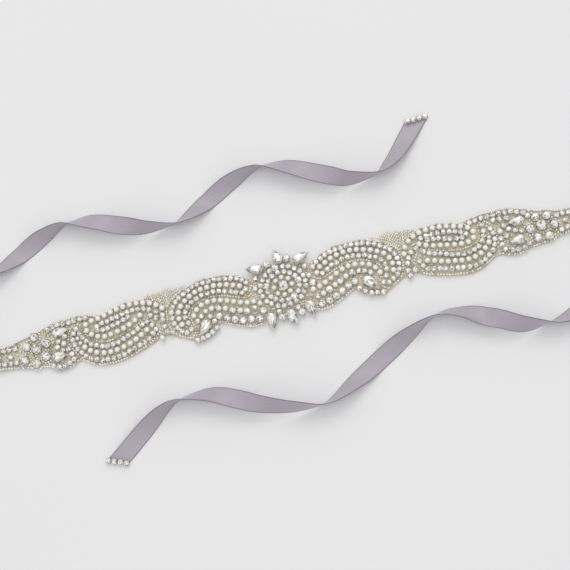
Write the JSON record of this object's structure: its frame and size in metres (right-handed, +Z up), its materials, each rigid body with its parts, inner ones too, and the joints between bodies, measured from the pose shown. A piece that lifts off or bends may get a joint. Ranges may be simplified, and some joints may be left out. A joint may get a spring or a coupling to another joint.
{
  "type": "bridal sash",
  "caption": "Beaded bridal sash laid flat: a scalloped net band covered in pearl and crystal scrolls round a sunburst, with curling satin ribbon ties.",
  "frame": {"origin": "on the surface that the sash lies on, under the middle of the sunburst", "axes": "+X along the beaded band, +Y across it towards the left tie's side, +Z up, away from the surface"},
  "size_m": [0.505, 0.1491, 0.0135],
  "materials": {
    "net": "fine warm beige net, matt",
    "satin_ribbon": "double-faced satin, mauve grey, soft sheen",
    "pearl": "ivory pearl coating, soft gloss",
    "crystal": "clear foil-backed crystal in a silver metal cup, polished",
    "cut_stone": "large clear foil-backed cut stone, polished",
    "mixed_beads": "pearls and foil-backed crystals on one string, polished",
    "seed_bead": "silver-lined champagne seed beads, glossy",
    "cup_chain": "crystals in plated metal cups, polished"
  },
  "bodies": {
    "root": {"left_bridge_crystals": "crystal", "left_crest_inner_crystals": "crystal", "left_crest_outer_crystals": "crystal", "left_crest_pearls": "pearl", "left_drop_arc_crystals": "crystal", "left_lower_side_drop": "cut_stone", "left_oval_inner_crystals": "crystal", "left_oval_pearls": "pearl", "left_rosette": "cut_stone", "left_shoulder_crystals": "crystal", "left_shoulder_inner_crystals": "crystal", "left_side_mixed_beads": "mixed_beads", "left_swag_inner_crystals": "crystal", "left_swag_outer_crystals": "crystal", "left_swag_pearls": "pearl", "left_tail_crystals": "crystal", "left_tie_loop": "satin_ribbon", "left_tie_tail": "satin_ribbon", "left_tie_trim": "cup_chain", "left_trough_drop": "cut_stone", "left_trough_mixed_beads": "mixed_beads", "left_trough_pearls": "pearl", "left_trough_wide_crystals": "crystal", "left_upper_side_drop": "cut_stone", "net_band": "net", "right_bridge_crystals": "crystal", "right_crest_inner_crystals": "crystal", "right_crest_outer_crystals": "crystal", "right_crest_pearls": "pearl", "right_drop_arc_crystals": "crystal", "right_lower_side_drop": "cut_stone", "right_oval_inner_crystals": "crystal", "right_oval_pearls": "pearl", "right_rosette": "cut_stone", "right_shoulder_crystals": "crystal", "right_shoulder_inner_crystals": "crystal", "right_side_mixed_beads": "mixed_beads", "right_swag_inner_crystals": "crystal", "right_swag_outer_crystals": "crystal", "right_swag_pearls": "pearl", "right_tail_crystals": "crystal", "right_tie_loop": "satin_ribbon", "right_tie_tail": "satin_ribbon", "right_tie_trim": "cup_chain", "right_trough_drop": "cut_stone", "right_trough_mixed_beads": "mixed_beads", "right_trough_pearls": "pearl", "right_trough_wide_crystals": "crystal", "right_upper_side_drop": "cut_stone", "sunburst_centre_crystal": "cut_stone", "sunburst_drop_bottom": "cut_stone", "sunburst_drop_bottom_left": "cut_stone", "sunburst_drop_bottom_right": "cut_stone", "sunburst_drop_top": "cut_stone", "sunburst_drop_top_left": "cut_stone", "sunburst_drop_top_right": "cut_stone", "sunburst_inner_crystals": "crystal", "sunburst_outer_crystals": "crystal", "sunburst_pearls": "pearl"}
  },
  "joints": []
}
